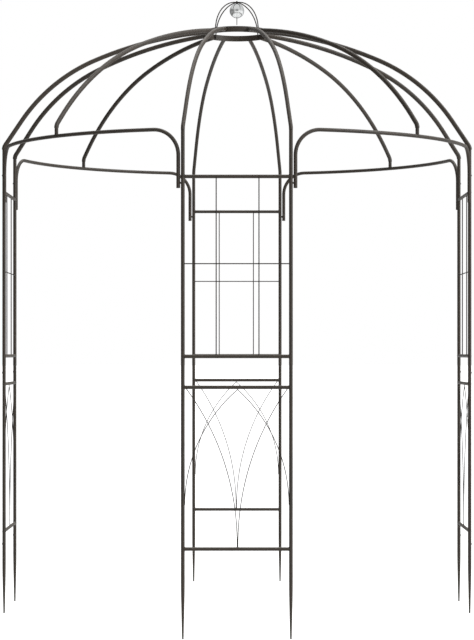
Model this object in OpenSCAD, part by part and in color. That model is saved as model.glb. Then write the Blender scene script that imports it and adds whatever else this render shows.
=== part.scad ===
// Round metal garden pavilion: four lattice panels, four open arched bays and a ribbed dome
// that carries an open crown with a polished metal ball.
// Heights are measured from the tips of the ground spikes. The front panel faces -y.

/* [Plan] */
// Distance from the centre to the plane of each lattice panel
panel_apothem = 1250; // [1150:10:1400]
// Distance between the axes of the two posts of a panel
panel_w = 528; // [460:4:600]
// Distance from the centre to the middle of each bay arch
bay_apex_r = 1289; // [1285:1:1300]

/* [Tube and wire] */
// Outside diameter of posts, ribs and bay arches
tube_d = 19; // [18.5:0.5:22]
// Outside diameter of the four rungs of a panel
rung_d = 18; // [14:0.5:18]
// Diameter of the straight wires in the upper lattice
wire_d = 5.5; // [4:0.5:7]
// Diameter of the curved wires in the lower lattice
arc_wire_d = 4; // [3:0.5:5]
// Depth of the flat-sided ribs above their springing, across the dome
rib_depth = 24; // [22:0.5:28]

/* [Panel heights] */
// Joint between ground spike and lower post
spike_joint_z = 322; // [300:2:380]
// Bottom rung
bottom_rung_z = 440; // [400:5:520]
// Rung at the top of the lower lattice
lower_mid_rung_z = 1230; // [1100:10:1230]
// Joint between lower post and upper post
post_joint_z = 1241; // [1240:1:1350]
// Rung at the bottom of the upper lattice
upper_mid_rung_z = 1381; // [1370:1:1420]
// Height at which the wires of the pointed arch leave the posts
gothic_springing_z = 655; // [600:1:740]
// Height above the bottom rung at which the two middle wires part
pair_h = 28; // [15:1:80]
// Wire that crosses the upper lattice
cross_wire_z = 1834; // [1700:1:1950]
// Distance between the two uprights of the upper lattice
upright_gap = 209; // [180:1:240]
// Top rung
top_rung_z = 2260; // [2200:5:2280]
// Joint between upper post and rib
rib_joint_z = 2300; // [2290:5:2340]

/* [Ground spike] */
// Radius of the blunt tip
spike_tip_r = 4.2; // [3:0.1:6]
// Height at which the taper has grown to the full tube
spike_shoulder_z = 280; // [200:5:295]

/* [Dome] */
// Height at which a panel rib leaves the vertical
springing_z = 2503; // [2490:1:2520]
// Radius of the tight bend at a rib's springing
kink_r = 45; // [30:5:60]
// Lean of a panel rib above its springing, from the vertical
rib_lean = 33.5; // [31:0.5:36]
// Straight length of a panel rib above its springing
rib_straight = 167; // [140:1:180]
// Radius of the haunch of a panel rib
rib_haunch_r = 940; // [900:10:980]
// Lean of a panel rib where the haunch ends
rib_haunch_lean = 65.5; // [63:0.5:68]
// Radius of the flatter crown part of a panel rib
rib_crown_r = 2075; // [1950:5:2200]
// Angle on the ring between a panel rib and the middle of its panel
rib_ring_angle = 22.5; // [18:0.5:26]

/* [Diagonal ribs] */
// Lean of a diagonal rib above its foot
diag_lean = 36; // [34:1:38]
// Straight length of a diagonal rib above its foot
diag_straight = 48; // [35:1:65]
// Radius of the haunch of a diagonal rib
diag_haunch_r = 1265; // [1230:5:1290]
// Lean of a diagonal rib where the haunch ends
diag_haunch_lean = 68; // [66:0.5:70]
// Radius of the flatter crown part of a diagonal rib
diag_crown_r = 2000; // [1900:10:2100]

/* [Bay arches] */
// Height of the level part of a bay arch
bay_arch_z = 2493; // [2480:1:2510]
// Radius of the bends down into the legs
bay_bend_r = 128; // [100:2:140]
// Height of the open lower end of a leg
bay_leg_end_z = 2204; // [2180:1:2240]
// Distance between the axes of a leg and its post
bay_leg_gap = 23; // [22.5:0.5:30]

/* [Crown] */
// Mean radius of the ring
ring_r = 173; // [160:1:190]
// Height of the ring's flat band
ring_h = 31; // [28:1:40]
// Thickness of the ring's flat band
ring_t = 2.5; // [2:0.5:6]
// Diameter of the wire of the two crossing arches
crown_wire_d = 6; // [5:0.5:8]
// Height of the crossing above the middle of the ring
crown_rise = 172.5; // [165:0.5:185]
// Lean of the feet of the arches, out towards the ring
crown_splay = 8; // [6:0.5:10]
// Diameter of the polished ball
ball_d = 80; // [60:2:90]
// Diameter of the rod through the ball
rod_d = 4; // [3:0.5:5]
// Length of the rod below the ball
rod_tail = 37; // [20:1:60]

/* [Hidden] */
$fn = 48;
metal = "#4a433d";
wire_metal = "#565049";
polished = "#c8cdd0";

post_x = panel_w / 2;
wall = 1.3; // wall of the tube where its end is open
spigot_gap = 0.4; // space all round a spigot in its socket
spigot_h = 65;
socket_spare = 1; // how much deeper a socket is than its spigot is long
leg_bore_h = 40;
wire_lap = 0.9; // share of a wire's diameter by which crossing wires lie beside each other
pair_lap = 0.48; // share of a wire's diameter from a middle wire's axis to the line between the two
lattice_shift = 3.4; // distance from the middle of a panel to the middle of its wires
arc_spare = 1; // angle by which a wire's arc runs on past its end before it is trimmed
spike_slope = 0.0224; // growth of a spike's radius over its length
spike_blend_h = 90; // height over which the taper grows into the full tube
spike_tip_round = 2;
spacer_d = 10;
spacer_h = 25; // height of a spacer above the open end of its leg
spacer_root = 1; // how far a spacer reaches into the wall of its leg
rib_end_spare = 8; // length by which a rib runs on past the middle of the ring before it is trimmed
diag_foot_h = 4; // height above the axis of the bay arch at which a diagonal rib starts
crown_bite = 0.1; // how far the feet of the crown arches are pressed into the ring
hub_d = 13;
hub_below = 6;
hub_above = 4;
nut_d = 7;
nut_h = 6;
fit = 0.2; // difference in diameter between the rod and the holes it passes through
seat = 0.5; // length of tube that reaches into the next length of the same bar
bend_swell = 0.1; // how much fuller a bend is than the tube on either side of it

// Plan of a rib: from its foot in towards the ring
function ring_point(az) = [ring_r * sin(az), -ring_r * cos(az)];
rib_foot = [post_x, -panel_apothem];
rib_head = ring_point(rib_ring_angle);
rib_run = norm(rib_head - rib_foot);
rib_yaw = atan2(rib_head[1] - rib_foot[1], rib_head[0] - rib_foot[0]);
diag_run = bay_apex_r - ring_r;

// Elevation of a rib: a straight, a haunch and a flatter crown, each tangent to the last
function end_lean(run, straight, lean, r1, lean1, r2) =
    acos(cos(lean1) - (run - straight * sin(lean) - r1 * (cos(lean) - cos(lean1))) / r2);
function rise(straight, lean, r1, lean1, r2, lean2) =
    straight * cos(lean) + r1 * (sin(lean1) - sin(lean)) + r2 * (sin(lean2) - sin(lean1));

rib_end_lean =
    end_lean(rib_run, rib_straight, rib_lean, rib_haunch_r, rib_haunch_lean, rib_crown_r);
ring_z = springing_z
    + rise(rib_straight, rib_lean, rib_haunch_r, rib_haunch_lean, rib_crown_r, rib_end_lean);
diag_end_lean =
    end_lean(diag_run, diag_straight, diag_lean, diag_haunch_r, diag_haunch_lean, diag_crown_r);
diag_springing_z = ring_z
    - rise(diag_straight, diag_lean, diag_haunch_r, diag_haunch_lean, diag_crown_r, diag_end_lean);

// Sockets and the spigots that plug into them
socket_d = tube_d - 2 * wall;
spigot_d = socket_d - 2 * spigot_gap;

// Plan of a bay arch, about the diagonal: the legs stand on the circle of the posts
post_circle_r = norm(rib_foot);
function circle_point(az) = [post_circle_r * sin(az), -post_circle_r * cos(az)];
post_az = 45 - atan2(post_x, panel_apothem);
leg_az = post_az - 2 * asin(bay_leg_gap / 2 / post_circle_r);
leg_x = post_circle_r * sin(leg_az);
bay_sagitta = bay_apex_r - post_circle_r * cos(leg_az);
bay_arc_r = (leg_x ^ 2 + bay_sagitta ^ 2 - bay_bend_r ^ 2) / (2 * bay_sagitta);
bay_arc_angle = atan2(leg_x, bay_arc_r - bay_sagitta) - atan2(bay_bend_r, bay_arc_r);

// Crown
ring_inner_r = ring_r - ring_t / 2;
ring_outer_r = ring_r + ring_t / 2;
ring_bottom_z = ring_z - ring_h / 2;
crown_top_z = ring_z + crown_rise;
crown_foot_r = ring_inner_r - crown_wire_d / 2 + crown_bite;
crown_h = crown_top_z - ring_bottom_z;
crown_arch_r = (crown_foot_r * cos(crown_splay) - crown_h * sin(crown_splay)) / (1 - sin(crown_splay));
crown_leg = (crown_foot_r - crown_arch_r * cos(crown_splay)) / sin(crown_splay);
hub_bottom_z = crown_top_z - hub_below;
hub_top_z = crown_top_z + hub_above;
ball_z = hub_bottom_z - ball_d / 2;

NODES = [
    "front_spikes", "front_lower_posts", "front_upper_posts", "front_lower_rungs",
    "front_upper_rungs", "front_lower_lattice", "front_upper_lattice", "front_ribs",
    "right_spikes", "right_lower_posts", "right_upper_posts", "right_lower_rungs",
    "right_upper_rungs", "right_lower_lattice", "right_upper_lattice", "right_ribs",
    "back_spikes", "back_lower_posts", "back_upper_posts", "back_lower_rungs",
    "back_upper_rungs", "back_lower_lattice", "back_upper_lattice", "back_ribs",
    "left_spikes", "left_lower_posts", "left_upper_posts", "left_lower_rungs",
    "left_upper_rungs", "left_lower_lattice", "left_upper_lattice", "left_ribs",
    "front_right_bay_arch", "back_right_bay_arch", "back_left_bay_arch", "front_left_bay_arch",
    "front_right_rib", "back_right_rib", "back_left_rib", "front_left_rib",
    "crown_ring", "crown_arches", "finial_ball", "finial_rod"
];
node = "all";

// ---- Tube path: each length starts at the origin along +z and hands its far end on ----

// Section of a bar: round, or deeper than wide across its bends, with flat sides
module section(d, depth) {
    if (depth > d) {
        for (x = [-1, 1]) translate([x * (depth - d) / 2, 0]) circle(d = d);
        square([depth - d, d], center = true);
    } else {
        circle(d = d);
    }
}

// A straight length; its ends reach a little way into the bends beside it, or by 0 where free
module straight(length, d, depth = 0, near = seat, far = seat) {
    translate([0, 0, -near]) linear_extrude(near + length + far) section(d, depth);
    translate([0, 0, length]) children();
}

// An arc that turns from +z towards +x
module turn(radius, angle, d, depth, near, far) {
    degrees = 180 / PI / radius;
    translate([radius, 0, 0]) rotate([90, 0, 0])
        rotate_extrude(start = 180 - angle - far * degrees, angle = angle + (near + far) * degrees)
            translate([radius, 0]) section(d, depth);
}

// A bend between two straight lengths, a hair fuller than they are so that they seat in it
module bend(radius, angle, d, depth = 0) {
    turn(radius, angle, d + bend_swell, depth + bend_swell, 0, 0);
    translate([radius, 0, 0]) rotate([0, angle, 0]) translate([-radius, 0, 0]) children();
}

// ---- Places ----

// Side 0 is the front, then anticlockwise seen from above
module on_side(side) {
    rotate([0, 0, 90 * side]) children();
}

module in_panel_plane() {
    translate([0, -panel_apothem, 0]) children();
}

module both_hands() {
    children();
    mirror([1, 0, 0]) children();
}

// ---- Parts of a lattice panel ----

// The reduced top of a length, from the joint at z up
module spigot(z) {
    translate([0, 0, z - seat]) cylinder(h = seat + spigot_h, d = spigot_d);
}

// Cuts the socket for it out of the length above
module socket(z) {
    depth = spigot_h + socket_spare;
    translate([0, 0, z - seat]) cylinder(h = seat + depth, d = socket_d);
}

module post_length(from_z, to_z) {
    color(metal) both_hands() in_panel_plane() translate([post_x, 0, 0]) {
        difference() {
            translate([0, 0, from_z]) cylinder(h = to_z - from_z, d = tube_d);
            socket(from_z);
        }
        spigot(to_z);
    }
}

module spikes() {
    blend_z = spike_shoulder_z - spike_blend_h;
    shoulder_r = spike_tip_r + spike_slope * blend_z;
    profile = concat(
        [[0, 0], [spike_tip_r - spike_tip_round, 0]],
        [for (a = [30:30:90])
            [spike_tip_r - spike_tip_round * (1 - sin(a)), spike_tip_round * (1 - cos(a))]],
        [[shoulder_r, blend_z]],
        [for (s = [0.25:0.25:1])
            [tube_d / 2 - (tube_d / 2 - shoulder_r) * (1 - s) ^ 2, blend_z + spike_blend_h * s]],
        [[tube_d / 2, spike_joint_z], [spigot_d / 2, spike_joint_z]],
        [[spigot_d / 2, spike_joint_z + spigot_h], [0, spike_joint_z + spigot_h]]
    );
    color(metal) both_hands() in_panel_plane()
        translate([post_x, 0, 0]) rotate_extrude() polygon(profile);
}

// Holds the tube of both posts, to cope what is welded between them
module post_cutters() {
    for (x = [-post_x, post_x])
        translate([x, 0, 0]) cylinder(h = springing_z, d = tube_d);
}

module bar_between_posts(z, d) {
    translate([-post_x, 0, z]) rotate([0, 90, 0]) cylinder(h = panel_w, d = d);
}

module rungs(heights) {
    color(metal) in_panel_plane() difference() {
        for (z = heights) bar_between_posts(z, rung_d);
        post_cutters();
    }
}

// A pointed arch that springs from the posts, and two arcs from the upper corners that
// come together near the middle of the bottom rung
module lower_lattice() {
    color(wire_metal) in_panel_plane() difference() {
        union() {
            half_lattice(lattice_shift);
            mirror([1, 0, 0]) half_lattice(-lattice_shift);
        }
        bar_between_posts(lower_mid_rung_z, rung_d);
        bar_between_posts(bottom_rung_z, rung_d);
        post_cutters();
    }
}

// The two wires that start on the side of the line x = middle towards the post at +x
module half_lattice(middle) {
    post_face_x = post_x - tube_d / 2;
    pair_x = middle + arc_wire_d * pair_lap;
    pair_end_x = post_face_x - arc_wire_d / 2;
    pair_springing_z = bottom_rung_z + pair_h;
    apex_z = lower_mid_rung_z - rung_d / 2 - arc_wire_d / 2;
    lap = arc_wire_d * wire_lap / 2;
    intersection() {
        translate([post_face_x, -lap, gothic_springing_z]) mirror([1, 0, 0])
            arc_wire(post_face_x - middle, apex_z - gothic_springing_z);
        translate([middle - seat, -panel_w, 0]) cube([panel_w, 2 * panel_w, springing_z]);
    }
    translate([pair_x, lap, bottom_rung_z]) straight(pair_h, arc_wire_d)
        arc_wire(pair_end_x - pair_x, lower_mid_rung_z - pair_springing_z);
}

// An arc that leaves upright and has moved sideways by run once it has risen by climb
module arc_wire(run, climb) {
    radius = (run ^ 2 + climb ^ 2) / (2 * run);
    bend(radius, asin(climb / radius) + arc_spare, arc_wire_d);
}

module upper_lattice() {
    lap = wire_d * wire_lap / 2;
    height = top_rung_z - upper_mid_rung_z;
    color(wire_metal) in_panel_plane() difference() {
        union() {
            for (x = [-1, 1])
                translate([lattice_shift + x * upright_gap / 2, -lap, upper_mid_rung_z])
                    cylinder(h = height, d = wire_d);
            translate([0, lap, 0]) bar_between_posts(cross_wire_z, wire_d);
        }
        bar_between_posts(upper_mid_rung_z, rung_d);
        bar_between_posts(top_rung_z, rung_d);
        post_cutters();
    }
}

// ---- Dome ----

module ring_cutter() {
    translate([0, 0, ring_z - ring_h]) cylinder(h = 2 * ring_h, r = ring_outer_r);
}

// A rib from its foot up; the foot is at the origin and the ring lies towards +x
module rib_path(foot_h, straight_l, lean, r1, lean1, r2, lean2) {
    trim = kink_r * tan(lean / 2);
    straight(foot_h - trim, tube_d, near = 0)
        bend(kink_r, lean, tube_d, rib_depth)
        straight(straight_l - trim, tube_d, rib_depth)
        bend(r1, lean1 - lean, tube_d, rib_depth)
        turn(r2, lean2 - lean1, tube_d, rib_depth, seat, rib_end_spare);
}

module panel_ribs() {
    color(metal) both_hands() difference() {
        translate([rib_foot[0], rib_foot[1], rib_joint_z]) rotate([0, 0, rib_yaw])
            rib_path(springing_z - rib_joint_z, rib_straight, rib_lean, rib_haunch_r,
                rib_haunch_lean, rib_crown_r, rib_end_lean);
        translate([rib_foot[0], rib_foot[1], 0]) socket(rib_joint_z);
        ring_cutter();
    }
}

// Coped where it stands on the bay arch and where it meets the ring
module diagonal_rib() {
    foot_z = bay_arch_z + diag_foot_h;
    color(metal) difference() {
        rotate([0, 0, 45]) translate([0, -bay_apex_r, foot_z]) rotate([0, 0, 90])
            rib_path(diag_springing_z - foot_z, diag_straight, diag_lean, diag_haunch_r,
                diag_haunch_lean, diag_crown_r, diag_end_lean);
        rotate([0, 0, 45]) bay_arc(atan2(tube_d, bay_arc_r));
        ring_cutter();
    }
}

// The long level arc of a bay arch, by half its angle
module bay_arc(half_angle) {
    translate([0, bay_arc_r - bay_apex_r, bay_arch_z])
        rotate_extrude(start = 270 - half_angle, angle = 2 * half_angle)
            translate([bay_arc_r, 0]) circle(d = tube_d);
}

// Level arc, two bends and two legs with open ends, each leg with a spacer to the post beside it
module bay_arch() {
    leg_l = bay_arch_z - bay_bend_r - bay_leg_end_z;
    color(metal) rotate([0, 0, 45]) difference() {
        union() {
            bay_arc(bay_arc_angle + atan2(seat, bay_arc_r));
            both_hands() translate([0, bay_arc_r - bay_apex_r, bay_arch_z])
                rotate([0, 0, bay_arc_angle]) translate([0, -bay_arc_r, 0]) rotate([0, 90, 0])
                    bend(bay_bend_r, 90, tube_d) straight(leg_l, tube_d, far = 0);
            both_hands() leg_spacer();
        }
        both_hands() {
            translate([leg_x, circle_point(leg_az)[1], bay_leg_end_z - seat])
                cylinder(h = seat + leg_bore_h, d = socket_d);
            translate(circle_point(post_az)) cylinder(h = springing_z, d = tube_d);
        }
    }
}

module leg_spacer() {
    start = tube_d / 2 - spacer_root;
    translate([leg_x, circle_point(leg_az)[1], bay_leg_end_z + spacer_h])
        rotate([0, 90, (leg_az + post_az) / 2])
            translate([0, 0, start]) cylinder(h = bay_leg_gap - start, d = spacer_d);
}

// ---- Crown ----

module crown_ring() {
    color(metal) rotate_extrude()
        translate([ring_inner_r, ring_bottom_z]) square([ring_t, ring_h]);
}

// Four quarter arches up from the inside of the ring to a hub with a hole for the rod
module crown_arches() {
    hub_gap = asin((rod_d / 2 + crown_wire_d / 4) / crown_arch_r);
    color(wire_metal) {
        for (az = [45:90:315])
            rotate([0, 0, az]) translate([-crown_foot_r, 0, ring_bottom_z]) rotate([0, crown_splay, 0])
                straight(crown_leg, crown_wire_d, near = 0)
                bend(crown_arch_r, 90 - crown_splay - hub_gap, crown_wire_d);
        difference() {
            translate([0, 0, hub_bottom_z]) cylinder(h = hub_below + hub_above, d = hub_d);
            translate([0, 0, hub_bottom_z - hub_above])
                cylinder(h = hub_below + 3 * hub_above, d = rod_d + fit);
        }
    }
}

module finial_ball() {
    color(polished) difference() {
        translate([0, 0, ball_z]) sphere(d = ball_d);
        translate([0, 0, ball_z - ball_d]) cylinder(h = 2 * ball_d, d = rod_d + fit);
    }
}

// The rod through ball and hub, with a cap nut on top
module finial_rod() {
    bottom_z = ball_z - ball_d / 2 - rod_tail;
    color(metal) {
        translate([0, 0, bottom_z]) cylinder(h = hub_top_z + seat - bottom_z, d = rod_d);
        translate([0, 0, hub_top_z]) {
            cylinder(h = nut_h - nut_d / 2, d = nut_d);
            translate([0, 0, nut_h - nut_d / 2]) sphere(d = nut_d);
        }
    }
}

// ---- Nodes ----

SIDES = ["front", "right", "back", "left"];
CORNERS = ["front_right", "back_right", "back_left", "front_left"];

function shown(name) = node == "all" || node == name;

for (side = [0:3]) on_side(side) {
    if (shown(str(SIDES[side], "_spikes"))) spikes();
    if (shown(str(SIDES[side], "_lower_posts"))) post_length(spike_joint_z, post_joint_z);
    if (shown(str(SIDES[side], "_upper_posts"))) post_length(post_joint_z, rib_joint_z);
    if (shown(str(SIDES[side], "_lower_rungs"))) rungs([bottom_rung_z, lower_mid_rung_z]);
    if (shown(str(SIDES[side], "_upper_rungs"))) rungs([upper_mid_rung_z, top_rung_z]);
    if (shown(str(SIDES[side], "_lower_lattice"))) lower_lattice();
    if (shown(str(SIDES[side], "_upper_lattice"))) upper_lattice();
    if (shown(str(SIDES[side], "_ribs"))) panel_ribs();
    if (shown(str(CORNERS[side], "_bay_arch"))) bay_arch();
    if (shown(str(CORNERS[side], "_rib"))) diagonal_rib();
}
if (shown("crown_ring")) crown_ring();
if (shown("crown_arches")) crown_arches();
if (shown("finial_ball")) finial_ball();
if (shown("finial_rod")) finial_rod();
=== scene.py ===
"""The looks of the metal garden pavilion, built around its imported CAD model."""

import math
import random

import bmesh
import bpy
from mathutils import Matrix, Vector
from mathutils.bvhtree import BVHTree


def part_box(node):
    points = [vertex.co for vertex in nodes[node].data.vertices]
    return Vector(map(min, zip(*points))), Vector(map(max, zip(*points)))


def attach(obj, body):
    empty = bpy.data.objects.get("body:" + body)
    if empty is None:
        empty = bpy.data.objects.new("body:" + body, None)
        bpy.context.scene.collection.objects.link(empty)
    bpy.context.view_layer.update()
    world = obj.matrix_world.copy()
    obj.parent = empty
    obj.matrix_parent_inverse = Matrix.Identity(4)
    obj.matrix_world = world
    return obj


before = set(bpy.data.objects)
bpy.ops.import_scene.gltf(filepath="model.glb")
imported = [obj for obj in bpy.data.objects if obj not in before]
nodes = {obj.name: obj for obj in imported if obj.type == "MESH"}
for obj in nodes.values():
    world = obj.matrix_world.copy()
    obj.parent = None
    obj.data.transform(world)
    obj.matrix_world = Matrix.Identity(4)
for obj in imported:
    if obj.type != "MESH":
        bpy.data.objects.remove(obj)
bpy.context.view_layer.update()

SIDES = ("front", "right", "back", "left")
CORNERS = ("front_right", "back_right", "back_left", "front_left")
UP = Vector((0, 0, 1))
MERGE_GAP = 1e-6  # points nearer than this are one point

# ---------------------------------------------------------------- sizes, read from the frame

post_low, post_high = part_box("front_lower_posts")
TUBE_R = (post_high.y - post_low.y) / 2
APOTHEM = -(post_high.y + post_low.y) / 2  # from the middle of the plan to a panel
POST_X = post_high.x - TUBE_R
POST_JOINTS = (post_low.z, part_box("front_upper_posts")[0].z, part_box("front_ribs")[0].z)

lower_low, lower_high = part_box("front_lower_rungs")
upper_low, upper_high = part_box("front_upper_rungs")
RUNG_R = (lower_high.y - lower_low.y) / 2
RUNG_LEVELS = (lower_low.z + RUNG_R, lower_high.z - RUNG_R,
               upper_low.z + RUNG_R, upper_high.z - RUNG_R)

arch_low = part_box("front_right_bay_arch")[0]
LEG_END_Z = arch_low.z
LEG_X = arch_low.x + TUBE_R
LEG_Y = -math.sqrt(POST_X ** 2 + APOTHEM ** 2 - LEG_X ** 2)  # as far out as the posts

ring_low, ring_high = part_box("crown_ring")
RING_R = ring_high.x
RING_BOTTOM_Z = ring_low.z


# ---------------------------------------------------------------- helpers

def mesh_object(name, bm, material, smooth=True):
    mesh = bpy.data.meshes.new(name)
    bm.to_mesh(mesh)
    bm.free()
    mesh.materials.append(material)
    if smooth:
        mesh.shade_smooth()
    obj = bpy.data.objects.new(name, mesh)
    bpy.context.scene.collection.objects.link(obj)
    return obj


def new_tree(block):
    """The empty node tree of a new world or material."""
    block.use_nodes = True
    block.node_tree.nodes.clear()
    return block.node_tree


def feed(tree, node, inputs):
    """Sets or links a node's inputs, given as (input, value or socket) pairs."""
    for key, value in inputs:
        if isinstance(value, bpy.types.NodeSocket):
            tree.links.new(value, node.inputs[key])
        else:
            node.inputs[key].default_value = value


def add_node(tree, kind, inputs=(), **settings):
    node = tree.nodes.new("ShaderNode" + kind)
    for name, value in settings.items():
        setattr(node, name, value)
    feed(tree, node, inputs)
    return node


def grey(value):
    return (value, value, value, 1)


# ---------------------------------------------------------------- camera, world and lamps

CAMERA_PLACE = (0, -11.173, 1.403)
CAMERA_LENS = 114.27
CAMERA_SHIFT = (0.0002, 0.0498)
SKY_LIGHT = 0.42

# Name, direction towards it, strength and spread in degrees of each lamp
LAMPS = (
    ("key", (1.0, -0.42, 0.6), 3.4, 24),
    ("fill", (-0.3, -1.0, 0.5), 0.2, 40),
    ("top", (0.0, 0.3, 0.95), 1.5, 50),
)


def make_camera():
    """A level camera in front of the object, with its picture shifted up."""
    data = bpy.data.cameras.new("camera")
    data.sensor_width = 36
    data.lens = CAMERA_LENS
    data.shift_x, data.shift_y = CAMERA_SHIFT
    camera = bpy.data.objects.new("camera", data)
    camera.location = CAMERA_PLACE
    camera.rotation_euler = (math.pi / 2, 0, 0)
    bpy.context.scene.collection.objects.link(camera)
    bpy.context.scene.camera = camera


def shows_background(tree):
    """1 on the rays that see the white background: camera, mirror and glass rays."""
    path = add_node(tree, "LightPath")
    seen = path.outputs["Is Camera Ray"]
    for output in ("Is Glossy Ray", "Is Transmission Ray"):
        either = add_node(tree, "Math", ((0, seen), (1, path.outputs[output])), operation="MAXIMUM")
        seen = either.outputs[0]
    return seen


def make_world():
    """A plain sky that lights the object, and white where it is seen or mirrored."""
    world = bpy.data.worlds.new("studio")
    bpy.context.scene.world = world
    tree = new_tree(world)
    sky = add_node(tree, "Background", (("Color", grey(1)), ("Strength", SKY_LIGHT)))
    white = add_node(tree, "Background", (("Color", grey(1)), ("Strength", 1)))
    mix = add_node(tree, "MixShader", (
        (0, shows_background(tree)), (1, sky.outputs[0]), (2, white.outputs[0])))
    add_node(tree, "OutputWorld", (("Surface", mix.outputs[0]),))


def make_lamps():
    """Soft lamps. The ball shows only what it mirrors, so they leave it out."""
    unlit = bpy.data.collections.new("unlit")
    unlit.objects.link(nodes["finial_ball"])
    unlit.collection_objects[0].light_linking.link_state = "EXCLUDE"
    for name, direction, strength, spread in LAMPS:
        data = bpy.data.lights.new(name, "SUN")
        data.energy = strength
        data.angle = math.radians(spread)
        lamp = bpy.data.objects.new(name, data)
        lamp.rotation_euler = Vector(direction).to_track_quat("Z", "Y").to_euler()
        lamp.light_linking.receiver_collection = unlit
        bpy.context.scene.collection.objects.link(lamp)


# ---------------------------------------------------------------- floor and cloths

FLOOR_HALF = 200
FLOOR_PAINT = 0.8
FLOOR_GLOW = 0.35
CLOTH_PAINT = 0.01
CLOTH_COVER = 0.7  # how much a cloth hides at its middle
CLOTH_FADE = 0.5  # the outer part of its half size over which a cloth fades out

# Name, centre, turn and half size of each cloth
CLOTHS = (
    ("left_cloth", (-3.6, 0.5, 2.3), (0, math.pi / 2, 0), (3.6, 8.0)),
    ("front_cloth", (0, -13.5, 4.0), (math.pi / 2, 0, 0), (9.0, 6.0)),
    ("back_cloth", (0, 13.5, 3.0), (math.pi / 2, 0, 0), (9.0, 7.0)),
)


def make_floor():
    """A white floor that keeps a faint shadow."""
    material = bpy.data.materials.new("floor")
    tree = new_tree(material)
    paint = add_node(tree, "BsdfDiffuse", (("Color", grey(FLOOR_PAINT)),))
    glow = add_node(tree, "Math", ((0, shows_background(tree)), (1, FLOOR_GLOW)),
                    operation="MULTIPLY")
    light = add_node(tree, "Emission", (("Color", grey(1)), ("Strength", glow.outputs[0])))
    both = add_node(tree, "AddShader", ((0, paint.outputs[0]), (1, light.outputs[0])))
    add_node(tree, "OutputMaterial", (("Surface", both.outputs[0]),))
    bm = bmesh.new()
    bmesh.ops.create_grid(bm, x_segments=1, y_segments=1, size=FLOOR_HALF)
    mesh_object("floor", bm, material, smooth=False)


def cloth_material():
    """Black that fades out towards the rim of the cloth."""
    material = bpy.data.materials.new("black_cloth")
    tree = new_tree(material)
    coords = add_node(tree, "TexCoord").outputs["Object"]
    fade = add_node(tree, "TexGradient", (("Vector", coords),), gradient_type="SPHERICAL")
    cover = add_node(tree, "MapRange", (
        ("Value", fade.outputs["Fac"]), ("From Max", CLOTH_FADE), ("To Max", CLOTH_COVER),
    ), interpolation_type="SMOOTHSTEP")
    clear = add_node(tree, "BsdfTransparent")
    black = add_node(tree, "BsdfDiffuse", (("Color", grey(CLOTH_PAINT)),))
    mix = add_node(tree, "MixShader", (
        (0, cover.outputs["Result"]), (1, clear.outputs[0]), (2, black.outputs[0])))
    add_node(tree, "OutputMaterial", (("Surface", mix.outputs[0]),))
    return material


def make_cloths():
    """Dark cloths round the object, which the camera doesn't see but the gloss shows."""
    material = cloth_material()
    for name, centre, turn, half in CLOTHS:
        bm = bmesh.new()
        bmesh.ops.create_grid(bm, x_segments=1, y_segments=1, size=1)
        cloth = mesh_object(name, bm, material, smooth=False)
        cloth.location = centre
        cloth.rotation_euler = turn
        cloth.scale = (*half, 1)
        cloth.visible_camera = False
        cloth.visible_transmission = False
        cloth.visible_shadow = False


# ---------------------------------------------------------------- materials

# Scales of the noises in the materials, in cells per metre
TINT, PATCH, SHEEN, BLOTCH, PEEL, GRAIN = 3.1, 14, 24, 55, 260, 900
DENT, HAZE = 30, 38

PEEL_DEPTH = 0.00012
GRAIN_DEPTH = 0.00005
DENT_DEPTH = 0.0001
PIT_SHADE = 0.55
PIT_SHARE = 0.35
# A lighter colour on what faces up: partly dust, partly painted top light
DUST_AND_TOP_LIGHT = (0.100, 0.090, 0.076)
DUST_AND_TOP_LIGHT_SLOPE = 0.15  # the upward part of the normal at which the dust and painted top light begin to lie
DUST_AND_TOP_LIGHT_PATCHES = (0.4, 1.3)
STEEL_DULL = (0.57, 0.58, 0.58)
STEEL_BRIGHT = (0.66, 0.67, 0.67)
STEEL_EDGE = (0.42, 0.43, 0.44)


class Nodes:
    """A short way to write the nodes that feed a material's Principled shader."""

    def __init__(self, name):
        self.material = bpy.data.materials.new(name)
        self.material.use_nodes = True
        self.tree = self.material.node_tree
        self.coords = self.add("TexCoord").outputs["Object"]

    def add(self, kind, inputs=(), **settings):
        return add_node(self.tree, kind, inputs, **settings)

    def shade(self, *inputs):
        feed(self.tree, self.tree.nodes["Principled BSDF"], inputs)

    def noise(self, scale, detail=2, roughness=0.5):
        return self.add("TexNoise", (
            ("Vector", self.coords), ("Scale", scale), ("Detail", detail), ("Roughness", roughness),
        )).outputs["Fac"]

    def ramp(self, source, *stops):
        """The colour ramp over the (place, colour) pairs in stops."""
        node = self.add("ValToRGB", (("Fac", source),))
        elements = node.color_ramp.elements
        while len(elements) < len(stops):
            elements.new(0.5)
        for element, (place, colour) in zip(elements, stops):
            element.position = place
            element.color = colour
        return node.outputs["Color"]

    def mix(self, kind, factor, a, b):
        return self.add("Mix", ((0, factor), (6, a), (7, b)),
                        data_type="RGBA", blend_type=kind).outputs[2]

    def span(self, source, low, high):
        """source, from 0 to 1, brought to the range from low to high."""
        return self.add("MapRange", (
            ("Value", source), ("To Min", low), ("To Max", high))).outputs["Result"]

    def facing_up(self, most):
        """A patchy factor that grows to most where the surface faces up, for dust and painted top
        light.
        """
        normal = self.add("NewGeometry").outputs["Normal"]
        upward = self.add("SeparateXYZ", ((0, normal),)).outputs["Z"]
        cover = self.add("MapRange", (
            ("Value", upward), ("From Min", DUST_AND_TOP_LIGHT_SLOPE), ("To Max", most),
        ), interpolation_type="SMOOTHSTEP").outputs["Result"]
        patches = self.span(self.noise(PATCH, detail=4, roughness=0.7), *DUST_AND_TOP_LIGHT_PATCHES)
        return self.add("Math", ((0, cover), (1, patches)), operation="MULTIPLY").outputs[0]

    def bump(self, *layers):
        """layers are (source, depth in metres) pairs, coarse first."""
        below = ()
        for source, depth in layers:
            node = self.add("Bump", (
                ("Strength", 1), ("Distance", depth), ("Height", source), *below))
            below = (("Normal", node.outputs["Normal"]),)
        self.shade(*below)


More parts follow.
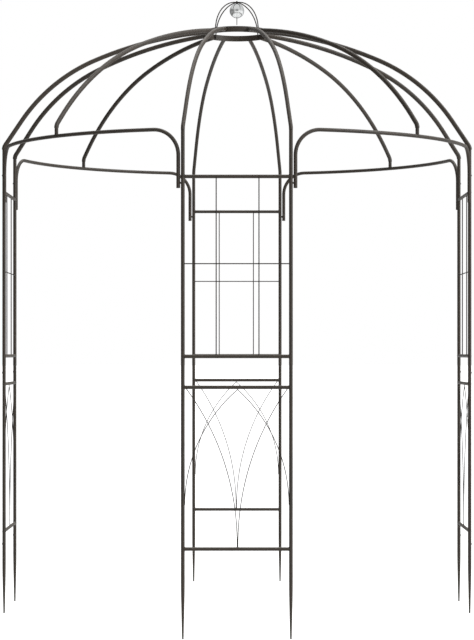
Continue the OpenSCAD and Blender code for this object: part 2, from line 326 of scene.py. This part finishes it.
def powder_coat(name, dark, warm, pale, shine, dust_and_top_light=0.5, roughness=(0.5, 0.66)):
    """A baked powder coat: orange peel, mottling, a warm tint, and on what faces up a lighter
    colour that is partly dust, partly painted top light.
    """
    n = Nodes(name)
    dark, warm, pale = (*dark, 1), (*warm, 1), (*pale, 1)
    tint = n.ramp(n.noise(TINT, detail=3, roughness=0.6), (0.36, dark), (0.52, warm), (0.68, dark))
    blotches = n.ramp(n.noise(BLOTCH, detail=4, roughness=0.65), (0.42, grey(0)), (0.75, grey(1)))
    grain = n.noise(GRAIN)
    pits = n.ramp(grain, (0.3, grey(PIT_SHADE)), (0.62, grey(1)))
    colour = n.mix("MIX", blotches, tint, pale)
    colour = n.mix("MULTIPLY", PIT_SHARE, colour, pits)
    # Lighter colour where the surface faces up: partly dust, partly painted top light
    colour = n.mix("MIX", n.facing_up(dust_and_top_light), colour, (*DUST_AND_TOP_LIGHT, 1))
    n.shade(("Base Color", colour), ("Metallic", 0.0), ("Specular IOR Level", shine),
            ("Roughness", n.span(n.noise(SHEEN, detail=3), *roughness)))
    n.bump((n.noise(PEEL, roughness=0.4), PEEL_DEPTH), (grain, GRAIN_DEPTH))
    return n.material


def polished_steel():
    """Polished sheet a little dulled by the weather, darker towards its rim."""
    n = Nodes("polished_steel")
    haze = n.noise(HAZE, detail=4, roughness=0.6)
    colour = n.ramp(haze, (0.3, (*STEEL_DULL, 1)), (0.7, (*STEEL_BRIGHT, 1)))
    n.shade(("Base Color", colour), ("Metallic", 1.0), ("Specular Tint", (*STEEL_EDGE, 1)),
            ("Roughness", n.span(haze, 0.18, 0.28)))
    n.bump((n.noise(DENT, detail=1), DENT_DEPTH))
    return n.material


COAT = powder_coat("coated_steel", (0.014, 0.010, 0.006), (0.020, 0.0125, 0.0065),
                   (0.027, 0.020, 0.012), shine=0.4)
WIRE = powder_coat("coated_wire", (0.012, 0.011, 0.010), (0.016, 0.012, 0.010),
                   (0.022, 0.020, 0.017), shine=0.12)
WELD = powder_coat("coated_weld", (0.018, 0.016, 0.013), (0.024, 0.018, 0.014),
                   (0.034, 0.029, 0.024), shine=0.3)
BOLT = powder_coat("coated_bolt", (0.014, 0.013, 0.011), (0.016, 0.014, 0.012),
                   (0.028, 0.025, 0.022), shine=0.35, roughness=(0.45, 0.6))
# Near-black colour of the rings at the post joints: painted shade of the gap
SEAM_SHADE = powder_coat("painted_seam_shade", (0.004, 0.0035, 0.003), (0.005, 0.004, 0.003),
                   (0.007, 0.006, 0.005), shine=0.1, dust_and_top_light=0.0, roughness=(0.7, 0.8))
BALL = polished_steel()


def dress_cad():
    """Gives every CAD node its finish."""
    for name, node in nodes.items():
        if name == "finial_ball":
            material = BALL
        elif name.endswith("_lattice") or name in ("crown_arches", "finial_rod"):
            material = WIRE
        else:
            material = COAT
        for slot in node.material_slots:
            slot.link = "OBJECT"
            slot.material = material


# ---------------------------------------------------------------- ways to make pieces

def add_piece(name, bm, material):
    """Makes the mesh a piece of the object."""
    piece = mesh_object(name, bm, material)
    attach(piece, "root")


def quarter_turn(quarter):
    return Matrix.Rotation(math.radians(90) * quarter, 4, "Z")


def lathe(bm, profile, at, axis, facets):
    """Revolves (radius, height) pairs about axis from the point at, and gives the new corners."""
    turn = axis.to_track_quat("Z", "Y").to_matrix()
    rings = []
    for radius, height in profile:
        if radius < MERGE_GAP:
            rings.append([bm.verts.new(at + turn @ Vector((0, 0, height)))])
            continue
        ring = []
        for i in range(facets):
            a = 2 * math.pi * i / facets
            rim = Vector((radius * math.cos(a), radius * math.sin(a), height))
            ring.append(bm.verts.new(at + turn @ rim))
        rings.append(ring)
    for one, two in zip(rings, rings[1:]):
        for i in range(facets):
            j = (i + 1) % facets
            corners = (one[i % len(one)], one[j % len(one)], two[j % len(two)], two[i % len(two)])
            unique = list(dict.fromkeys(corners))
            if len(unique) > 2:
                bm.faces.new(unique)
    return [corner for ring in rings for corner in ring]


# ---------------------------------------------------------------- bolts, and painted shade at the seams

# (radius, height) pairs from the foot of the head to the bottom of its socket
BUTTON_HEAD = ((0.0, 0.0), (0.0044, 0.0), (0.0047, 0.0014), (0.0046, 0.0020), (0.0041, 0.0027),
               (0.0032, 0.0032), (0.0023, 0.0034), (0.0019, 0.0034), (0.0017, 0.0032),
               (0.0017, 0.0022), (0.0, 0.0020))
HEAD_SINK = 0.0013
HEAD_FACETS = 24
BOLT_ABOVE_JOINT = 0.050
BOLT_ABOVE_LEG_END = 0.025

# The near-black rings of painted shade at the post joints
SEAM_HALF = 0.0004
SEAM_PROUD = 0.0001
SEAM_DEEP = 0.0006
SEAM_FACETS = 48


def bolt_head(bm, surface, axis):
    """A button head with a socket, sunk a little into the round of the tube."""
    lathe(bm, BUTTON_HEAD, surface - axis * HEAD_SINK, axis, HEAD_FACETS)


def post_bolts(quarter):
    """The bolt heads on the outside of a panel's posts, one above each joint."""
    bm = bmesh.new()
    turn = quarter_turn(quarter)
    out = turn.to_3x3() @ Vector((0, -1, 0))
    for x in (-POST_X, POST_X):
        for joint_z in POST_JOINTS:
            point = turn @ Vector((x, -APOTHEM, joint_z + BOLT_ABOVE_JOINT))
            bolt_head(bm, point + out * TUBE_R, out)
    add_piece(SIDES[quarter] + "_post_bolts", bm, BOLT)


def leg_bolts(quarter):
    """The heads of the two bolts that hold a bay arch to its posts."""
    bm = bmesh.new()
    turn = quarter_turn(quarter)
    z = LEG_END_Z + BOLT_ABOVE_LEG_END
    for leg, post in (((LEG_X, LEG_Y), (POST_X, -APOTHEM)), ((-LEG_Y, -LEG_X), (APOTHEM, -POST_X))):
        leg, post = Vector((*leg, z)), Vector((*post, z))
        away = (leg - post).normalized()
        bolt_head(bm, turn @ (leg + away * TUBE_R), turn.to_3x3() @ away)
    add_piece(CORNERS[quarter] + "_leg_bolts", bm, BOLT)


def joint_seam_shade(quarter):
    """A near-black ring round each post where one length of tube stands on the next: painted shade
    of the gap between them.
    """
    bm = bmesh.new()
    turn = quarter_turn(quarter)
    outer, inner = TUBE_R + SEAM_PROUD, TUBE_R - SEAM_DEEP
    profile = ((inner, -SEAM_HALF), (outer, -SEAM_HALF), (outer, SEAM_HALF), (inner, SEAM_HALF))
    for x in (-POST_X, POST_X):
        for joint_z in POST_JOINTS:
            lathe(bm, profile, turn @ Vector((x, -APOTHEM, joint_z)), UP, SEAM_FACETS)
    add_piece(SIDES[quarter] + "_joint_seam_shade", bm, SEAM_SHADE)


# ---------------------------------------------------------------- welds

VERTEX_TOL = 0.0003  # how near to a surface the corners of a face that rests on it lie
FACE_TOL = 0.0015  # how near to it the middle of such a face lies
FACET_SAG = 0.0002  # how far a node's facets lie from the round surface they stand for
MAX_LOOP_GAP = 0.006
MIN_LOOP_POINTS = 6

TUBE_BEAD = 0.0017
WIRE_BEAD = 0.0009
BEAD_PITCH = 0.0006
BEAD_FACETS = 8
MIN_BEAD_RINGS = 12
RIPPLE = 0.0022  # the length of one ripple
RIPPLE_SWELL = 0.10
MIN_RIPPLES = 4
UNEVENNESS = 0.08

# The blob of weld on a foot of the crown arches: half its size out, across and up
FOOT_BEAD = (0.0026, 0.0052, 0.0070)
FOOT_LIFT = 0.001
FOOT_SWELL = 0.08
FOOT_STEPS = 32
FOOT_FACETS = 24
FOOT_AZIMUTHS = (45, 135, 225, 315)


def node_mesh(name):
    bm = bmesh.new()
    bm.from_mesh(nodes[name].data)
    bmesh.ops.remove_doubles(bm, verts=bm.verts, dist=MERGE_GAP)
    return bm


def seam_loops(name, distance):
    """The closed edge loops where a node's mesh ends on a surface, given the distance to it."""
    bm = node_mesh(name)
    on = {v for v in bm.verts if distance(v.co) < VERTEX_TOL}
    cope = {f for f in bm.faces
            if all(v in on for v in f.verts) and distance(f.calc_center_median()) < FACE_TOL}
    ends = {}
    for edge in bm.edges:
        if sum(face in cope for face in edge.link_faces) == 1:
            a, b = edge.verts
            ends.setdefault(a, []).append(b)
            ends.setdefault(b, []).append(a)
    loops, seen = [], set()
    for start in sorted(ends, key=lambda v: v.index):
        if start in seen:
            continue
        loop, at = [], start
        while at is not None:
            seen.add(at)
            loop.append(at.co.copy())
            at = next((v for v in ends[at] if v not in seen), None)
        if len(loop) >= MIN_LOOP_POINTS and (loop[0] - loop[-1]).length < MAX_LOOP_GAP:
            loops.append(loop)
    bm.free()
    return loops


def even_loop(loop):
    """The same closed loop with its points one bead pitch apart."""
    lengths = [(loop[(i + 1) % len(loop)] - p).length for i, p in enumerate(loop)]
    total = sum(lengths)
    count = max(MIN_BEAD_RINGS, round(total / BEAD_PITCH))
    points, i, passed = [], 0, 0.0
    for k in range(count):
        at = total * k / count
        while passed + lengths[i] < at:
            passed += lengths[i]
            i += 1
        part = (at - passed) / max(lengths[i], MERGE_GAP)
        points.append(loop[i].lerp(loop[(i + 1) % len(loop)], part))
    return points


def weld_bead(bm, loop, radius, rng):
    """A rippled bead along a closed loop."""
    path = even_loop(loop)
    count = len(path)
    middle = sum(path, Vector()) / count
    ripples = max(MIN_RIPPLES, round(count * BEAD_PITCH / RIPPLE))
    phase = rng.random()
    rings = []
    for i, point in enumerate(path):
        ahead = (path[(i + 1) % count] - path[i - 1]).normalized()
        side = ahead.cross(point - middle).normalized()
        up = side.cross(ahead).normalized()
        wave = math.sin(2 * math.pi * (ripples * i / count + phase))
        r = radius * (1 + RIPPLE_SWELL * wave + UNEVENNESS * (rng.random() - 0.5))
        rings.append([bm.verts.new(point + r * (math.cos(a) * up + math.sin(a) * side))
                      for a in (2 * math.pi * k / BEAD_FACETS for k in range(BEAD_FACETS))])
    for i in range(count):
        one, two = rings[i], rings[(i + 1) % count]
        for k in range(BEAD_FACETS):
            j = (k + 1) % BEAD_FACETS
            bm.faces.new((one[k], one[j], two[j], two[k]))


def from_posts(quarter):
    """Gives the distance from the surfaces of a panel's two posts."""
    turn = quarter_turn(quarter)
    feet = [turn @ Vector((x, -APOTHEM, 0)) for x in (-POST_X, POST_X)]
    return lambda p: min(abs(math.hypot(p.x - f.x, p.y - f.y) - TUBE_R) for f in feet)


def from_rungs(quarter):
    """Gives the distance from the surfaces of a panel's four rungs."""
    out = quarter_turn(quarter).to_3x3() @ Vector((0, -1, 0))
    return lambda p: min(abs(math.hypot(p.dot(out) - APOTHEM, p.z - z) - RUNG_R)
                         for z in RUNG_LEVELS)


def from_ring(p):
    """The distance from the outer wall of the crown ring."""
    return abs(math.hypot(p.x, p.y) - RING_R)


def from_node(name):
    """Gives the distance from a node's own mesh, less the sag of its facets."""
    other = node_mesh(name)
    tree = BVHTree.FromBMesh(other)
    other.free()
    return lambda p: tree.find_nearest(p)[3] - FACET_SAG


def welds(name, joints):
    """One piece of weld beads; joints are (node, distance to what it meets, radius) rows."""
    rng = random.Random(name)
    bm = bmesh.new()
    for node_name, distance, radius in joints:
        for loop in seam_loops(node_name, distance):
            weld_bead(bm, loop, radius, rng)
    add_piece(name, bm, WELD)


def panel_welds(quarter):
    """The beads where a panel's rungs meet its posts, and its wires meet the tubes."""
    posts, rungs, name = from_posts(quarter), from_rungs(quarter), SIDES[quarter]
    welds(name + "_weld_beads", (
        (name + "_lower_rungs", posts, TUBE_BEAD),
        (name + "_upper_rungs", posts, TUBE_BEAD),
        (name + "_lower_lattice", rungs, WIRE_BEAD),
        (name + "_upper_lattice", posts, WIRE_BEAD),
        (name + "_upper_lattice", rungs, WIRE_BEAD),
    ))


def rib_welds():
    """The beads where the ribs meet the crown ring, and the corner ribs their bay arches."""
    ribs = [side + "_ribs" for side in SIDES] + [corner + "_rib" for corner in CORNERS]
    welds("crown_weld_beads", [(rib, from_ring, TUBE_BEAD) for rib in ribs])
    welds("bay_weld_beads", [
        (corner + "_rib", from_node(corner + "_bay_arch"), TUBE_BEAD) for corner in CORNERS])


def ring_inner_radius():
    bm = node_mesh("crown_ring")
    inner = min(math.hypot(v.co.x, v.co.y) for v in bm.verts)
    bm.free()
    return inner


def foot_welds():
    """Rippled blobs of weld that hold the crown arches' feet inside the ring."""
    out, _, up = FOOT_BEAD
    profile = []
    for k in range(FOOT_STEPS + 1):
        a = math.pi * k / FOOT_STEPS
        swell = 1 - FOOT_SWELL * math.sin(2 * math.pi * math.cos(a) * up / RIPPLE)
        profile.append((swell * math.sin(a), -swell * math.cos(a)))
    centre = (ring_inner_radius() - out / 2, 0, RING_BOTTOM_Z + up + FOOT_LIFT)
    bm = bmesh.new()
    for azimuth in FOOT_AZIMUTHS:
        place = (Matrix.Rotation(math.radians(azimuth), 4, "Z") @ Matrix.Translation(centre)
                 @ Matrix.Diagonal((*FOOT_BEAD, 1)))
        blob = lathe(bm, profile, Vector(), UP, FOOT_FACETS)
        bmesh.ops.transform(bm, matrix=place, verts=blob)
    add_piece("crown_foot_welds", bm, WELD)


# ---------------------------------------------------------------- the scene

bpy.context.scene.view_settings.view_transform = "Standard"
make_camera()
make_world()
make_lamps()
make_floor()
make_cloths()
dress_cad()
for index in range(4):
    post_bolts(index)
    leg_bolts(index)
    joint_seam_shade(index)
    panel_welds(index)
rib_welds()
foot_welds()
